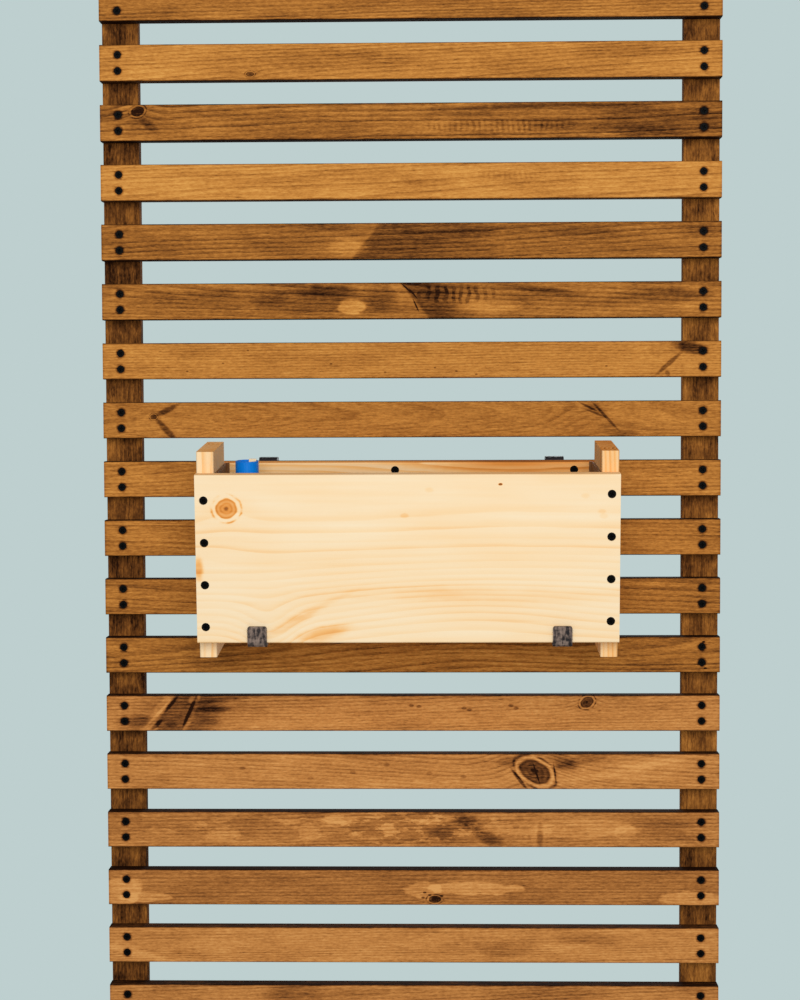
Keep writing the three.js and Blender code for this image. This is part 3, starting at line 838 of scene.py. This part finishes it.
# %% [markdown]
# ## Liner, watering tube and stick
#
# A brown plastic liner keeps the soil off the wood. At the left end stands a blue tube for water,
# with a thin wooden stick in its mouth. Plastic has no grain, so these finishes are quiet: a fine
# pebble on the liner and a smooth, slightly uneven gloss on the tube.

# %% Plastics and the stick


def plastic(name, colour, worn, roughness, grain, relief):
    recipe = Recipe(name)
    point = recipe.millimetres()
    pebble = recipe.noise(point, grain, grain, 1.0, detail=2.0)
    clouds = recipe.noise(point, 26, 26, 2.0, detail=3.0)
    shade = recipe.blend((clouds * 0.5 + 0.5).from_edge(0.2, 0.9), colour, worn)
    return recipe.finish(shade, clouds * 0.06 + roughness, pebble, relief=relief, gloss=0.2)


LINER_PLASTIC = plastic("liner_plastic", srgb(112, 74, 42), srgb(146, 100, 64), 0.6, 1.4, 0.0002)
TUBE_PLASTIC = plastic("tube_plastic", srgb(0, 120, 226), srgb(0, 140, 240), 0.4, 6.0, 0.00003)
for name in ("liner", "drain_plate", "tube_socket"):
    dress(name, LINER_PLASTIC)
dress("watering_tube", TUBE_PLASTIC)
dress("plant_stick", bare_pine("plant_stick", "zxy", 55.0, 0.1, (6, 9), 0.01, ring=1.1, drift=1.0))
print("liner, tube and stick finished")

# %% [markdown]
# ## Screws
#
# Every joint is held by black countersunk screws. Seen from in front only the heads show, a little
# below the wood, each with its cross recess. A turned cone would do from far away, but a screw is
# looked at closely where it is the only fastener, so one mesh is built with a head, a recess, a
# shank and a thread, and set wherever a screw goes.

# %% Screw mesh
HEAD_RADIUS = 0.0045
HEAD_RIM = 0.0008
HEAD_CONE = 0.0036
SHANK_RADIUS = 0.0016
THREAD_RADIUS = 0.002
THREAD_PITCH = 0.0022
TIP_LENGTH = 0.005
RECESS_REACH = 0.0024
RECESS_ARM = 0.0005  # half the width of one arm of the cross
RECESS_DEPTH = 0.0019
HEAD_SIDES = 32
HEAD_FLAT = 0.93  # share of the head's radius that is flat
HEAD_ROUND = 0.05  # how far the rim falls, as a share of the radius
RECESS_FLOOR = 0.55  # size of the recess's floor, as a share of its mouth
FOOT_SHARE = 1.05  # of the cone's foot, a little wider than the shank
SHANK_SIDES = 10
STEPS_PER_TURN = 8
TIP_SHARE = 0.04  # what is left of the radius at the point


def ring_of(bm, radius, height):
    """A ring of points round the screw's axis, as many as the head has sides."""
    points = []
    for i in range(HEAD_SIDES):
        angle = 2 * math.pi * i / HEAD_SIDES
        points.append(bm.verts.new((radius * math.cos(angle), radius * math.sin(angle), height)))
    return points


def wall(bm, lower, upper):
    """Faces between two rings of as many points."""
    for i, point in enumerate(lower):
        following = (i + 1) % len(lower)
        bm.faces.new((point, lower[following], upper[following], upper[i]))


def recess_radius(angle):
    """How far the cross recess reaches in a direction."""
    turn = (angle + math.pi / 4) % (math.pi / 2) - math.pi / 4
    side = abs(math.sin(turn))
    reach = RECESS_ARM / side if side > RECESS_ARM / RECESS_REACH else RECESS_REACH
    return min(reach, RECESS_REACH)


def recess_ring(bm, height, share):
    """The outline of the cross, as a ring of points, drawn in by a share towards its floor."""
    points = []
    for i in range(HEAD_SIDES):
        angle = 2 * math.pi * i / HEAD_SIDES
        radius = recess_radius(angle) * share
        points.append(bm.verts.new((radius * math.cos(angle), radius * math.sin(angle), height)))
    return points


def threaded_shank(bm, top, length):
    """A shank whose radius follows the thread's helix, ending in a point."""
    turns = length / THREAD_PITCH
    rings = []
    count = max(2, int(turns * STEPS_PER_TURN / 2))
    for k in range(count + 1):
        down = length * k / count
        taper = min(1.0, (length - down) / TIP_LENGTH + TIP_SHARE)
        points = []
        for i in range(SHANK_SIDES):
            angle = 2 * math.pi * i / SHANK_SIDES
            phase = (down / THREAD_PITCH + angle / (2 * math.pi)) % 1.0
            crest = max(0.0, 1 - abs(phase - 0.5) * 4)
            radius = (SHANK_RADIUS + (THREAD_RADIUS - SHANK_RADIUS) * crest) * taper
            points.append(bm.verts.new((
                radius * math.cos(angle), radius * math.sin(angle), top - down)))
        rings.append(points)
    for upper, lower in zip(rings, rings[1:]):
        wall(bm, lower, upper)
    bm.faces.new(list(reversed(rings[-1])))
    bm.faces.new(rings[0])


def add_screw(bm, place, length):
    """One screw, pointing into the wood, whose head's flat lies in the place's XY plane."""
    made = bmesh.new()
    floor = recess_ring(made, -RECESS_DEPTH, RECESS_FLOOR)
    mouth = recess_ring(made, 0.0, 1.0)
    rim_in = ring_of(made, HEAD_RADIUS * HEAD_FLAT, 0.0)
    rim_out = ring_of(made, HEAD_RADIUS, -HEAD_RADIUS * HEAD_ROUND)
    skirt = ring_of(made, HEAD_RADIUS, -HEAD_RIM)
    foot = ring_of(made, SHANK_RADIUS * FOOT_SHARE, -HEAD_CONE)
    made.faces.new(floor)
    outline = (floor, mouth, rim_in, rim_out, skirt, foot)
    for inner, outer in zip(outline, outline[1:]):
        wall(made, outer, inner)
    made.faces.new(list(reversed(foot)))
    threaded_shank(made, -HEAD_CONE, length - HEAD_CONE)
    bmesh.ops.transform(made, matrix=place, verts=made.verts)
    mesh = bpy.data.meshes.new("screw")
    made.to_mesh(mesh)
    made.free()
    bm.from_mesh(mesh)
    bpy.data.meshes.remove(mesh)


def screw_object(name, places, length, material):
    """An object that holds one screw at each place."""
    bm = bmesh.new()
    for place in places:
        add_screw(bm, place, length)
    bmesh.ops.recalc_face_normals(bm, faces=bm.faces)
    mesh = bpy.data.meshes.new(name)
    bm.to_mesh(mesh)
    bm.free()
    mesh.materials.append(material)
    obj = bpy.data.objects.new(name, mesh)
    bpy.context.scene.collection.objects.link(obj)
    return obj


def aimed(point, outward, turn):
    """A place on the wood: Z points out of it, and the recess is turned by an angle."""
    z_axis = outward.normalized()
    x_axis = Vector((0, 0, 1)).cross(z_axis).normalized()
    y_axis = z_axis.cross(x_axis)
    rotation = Matrix((x_axis, y_axis, z_axis)).transposed().to_4x4()
    return Matrix.Translation(point) @ rotation @ Matrix.Rotation(turn, 4, "Z")


def black_screw_finish():
    recipe = Recipe("black_screw_finish")
    point = recipe.millimetres()
    rub = recipe.noise(point, 1.6, 1.6, 1.0, detail=3.0)
    colour = recipe.blend(rub.from_edge(0.0, 0.8), srgb(5, 5, 5), srgb(17, 15, 14))
    return recipe.finish(colour, rub * 0.1 + 0.5, rub, relief=0.00005, gloss=0.04)


SCREW_FINISH = black_screw_finish()
print("a screw's head is", HEAD_RADIUS * 2 * METRE, "mm across")

# %% [markdown]
# ## Screws in the slats
#
# Two screws hold each slat's end to its rail. Their seats are already sunk in the slats. In life no
# two recesses end up at the same angle, and a golden-angle step gives each its own turn without any
# random draw.

# %% Slat screws
SLAT_SCREW_LENGTH = 0.032
SCREW_SINK = 0.0004
GOLDEN_TURN = math.radians(137.5)


def slat_screws(side, sign):
    places = []
    for number in SLAT_FIGURES:
        low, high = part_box(f"slat_{number:02d}")
        middle = (low.z + high.z) / 2
        for offset in (SCREW_SPREAD, -SCREW_SPREAD):
            reach = sign * SCREW_REACH / METRE
            point = Vector((reach, low.y + SCREW_SINK, middle + offset / METRE))
            places.append(aimed(point, Vector((0, -1, 0)), GOLDEN_TURN * len(places)))
    piece = screw_object(f"slat_screws_{side}", places, SLAT_SCREW_LENGTH, SCREW_FINISH)
    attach(piece, "frame")


for side, sign in (("left", -1), ("right", 1)):
    slat_screws(side, sign)
print("screws in the slats:", 4 * len(SLAT_FIGURES))

# %% [markdown]
# ## Screws in the box
#
# Here each screw is a solid of the frame, so the better mesh takes that solid's place exactly: the
# outermost points of the solid along its axis are the rim of its head.

# %% Box screws
out_of_front = Matrix.Rotation(BOX_LEAN, 3, "X") @ Vector((0, -1, 0))
SAME_HEIGHT = 1e-5
BOARD_ENDS = tuple(f"{side}_{number}" for side in ("left", "right") for number in (1, 2, 3, 4))
SCREW_ROWS = {
    "front": (out_of_front, BOARD_ENDS),
    "back": (-out_of_front, BOARD_ENDS),
    "top": (out_of_front, ("1", "2", "3")),
    "floor": (None, ("left_1", "left_2", "right_1", "right_2")),
}


def head_and_length(node, outward):
    """The middle of a screw's head, and the screw's length, from the solid's points."""
    points = [vertex.co.copy() for vertex in nodes[node].data.vertices]
    reach = [point.dot(outward) for point in points]
    top = max(reach)
    head = [point for point, value in zip(points, reach) if value > top - SAME_HEIGHT]
    low = Vector(min(p[i] for p in head) for i in range(3))
    high = Vector(max(p[i] for p in head) for i in range(3))
    return (low + high) / 2, top - min(reach)


def box_screws():
    count = 0
    for row, (outward, ends) in SCREW_ROWS.items():
        for end in ends:
            node = f"{row}_screw_{end}"
            out = outward or Vector((-1 if end.startswith("left") else 1, 0, 0))
            point, length = head_and_length(node, out)
            place = aimed(point, out, GOLDEN_TURN * count)
            piece = screw_object(f"{row}_screw_threaded_{end}", [place], length, SCREW_FINISH)
            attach(piece, "box")
            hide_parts(node)
            count += 1
    return count


print("screws in the box:", box_screws())

# %% [markdown]
# ## Floor, world and light
#
# The planter hangs on a wall, so the floor lies well below it and fades out at its rim. The light
# is one large soft panel above and behind the camera: faces that look forward are bright, and the
# slats' undersides fall off. The world fills the shadows a little, and a weak panel behind keeps
# the back readable. Seen directly, mirrored or through something clear, the world is a plain pale
# blue-grey. Only its white fill lights matt surfaces.

# %% Floor
FLOOR_DROP = 0.9  # below the slats
FLOOR_RADIUS = 2.6
FLOOR_FADE = 1.2
FLOOR_SIDES = 96


def add_floor():
    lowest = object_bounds()[0].z
    bm = bmesh.new()
    bmesh.ops.create_circle(bm, cap_ends=True, radius=FLOOR_RADIUS, segments=FLOOR_SIDES)
    mesh = bpy.data.meshes.new("floor")
    bm.to_mesh(mesh)
    bm.free()
    floor = bpy.data.objects.new("floor", mesh)
    floor.location = (0, 0, lowest - FLOOR_DROP)
    bpy.context.scene.collection.objects.link(floor)
    recipe = Recipe("floor_paint")
    distance = recipe.node("VectorMath", [recipe.position()], output=LENGTH, operation="LENGTH")
    seen = distance.from_edge(FLOOR_FADE, FLOOR_RADIUS, 1.0, 0.0)
    paint = recipe.node("BsdfDiffuse", {"Color": srgb(222, 228, 228)})
    clear = recipe.node("BsdfTransparent", [])
    mesh.materials.append(recipe.show(recipe.node("MixShader", [seen, clear, paint])))


add_floor()
print("the floor lies", FLOOR_DROP, "m below the frame")

# %% World and lights
BACKDROP = srgb(190, 207, 207)
FILL_STRENGTH = 0.3
PANEL_POWER = 66.0
PANEL_SIZE = 1.9
PANEL_PLACE = Vector((0.1, -3.0, 0.85))
BACK_POWER = 24.0
BACK_PLACE = Vector((0.6, 3.2, 0.8))
AIM = Vector((0.0, -0.05, 0.0))


def add_world():
    world = bpy.data.worlds.new("pale room")
    bpy.context.scene.world = world
    world.use_nodes = True
    tree = world.node_tree
    tree.nodes.clear()
    rays = tree.nodes.new("ShaderNodeLightPath")
    seen = None
    for ray in ("Is Camera Ray", "Is Glossy Ray", "Is Transmission Ray"):
        if seen is None:
            seen = rays.outputs[ray]
            continue
        either = tree.nodes.new("ShaderNodeMath")
        either.operation = "MAXIMUM"
        tree.links.new(seen, either.inputs[0])
        tree.links.new(rays.outputs[ray], either.inputs[1])
        seen = either.outputs[0]
    fill = tree.nodes.new("ShaderNodeBackground")
    fill.inputs["Color"].default_value = (1.0, 1.0, 1.0, 1.0)
    fill.inputs["Strength"].default_value = FILL_STRENGTH
    backdrop = tree.nodes.new("ShaderNodeBackground")
    backdrop.inputs["Color"].default_value = BACKDROP
    mix = tree.nodes.new("ShaderNodeMixShader")
    output = tree.nodes.new("ShaderNodeOutputWorld")
    tree.links.new(seen, mix.inputs[0])
    tree.links.new(fill.outputs[0], mix.inputs[1])
    tree.links.new(backdrop.outputs[0], mix.inputs[2])
    tree.links.new(mix.outputs[0], output.inputs[0])


def add_panel(name, place, power):
    panel = bpy.data.objects.new(name, bpy.data.lights.new(name, "AREA"))
    panel.data.energy = power
    panel.data.size = PANEL_SIZE
    panel.location = place
    panel.rotation_euler = (AIM - place).to_track_quat("-Z", "Y").to_euler()
    bpy.context.scene.collection.objects.link(panel)


add_world()
add_panel("front panel", PANEL_PLACE, PANEL_POWER)
add_panel("back panel", BACK_PLACE, BACK_POWER)
print("panels:", PANEL_POWER, "W in front,", BACK_POWER, "W behind")
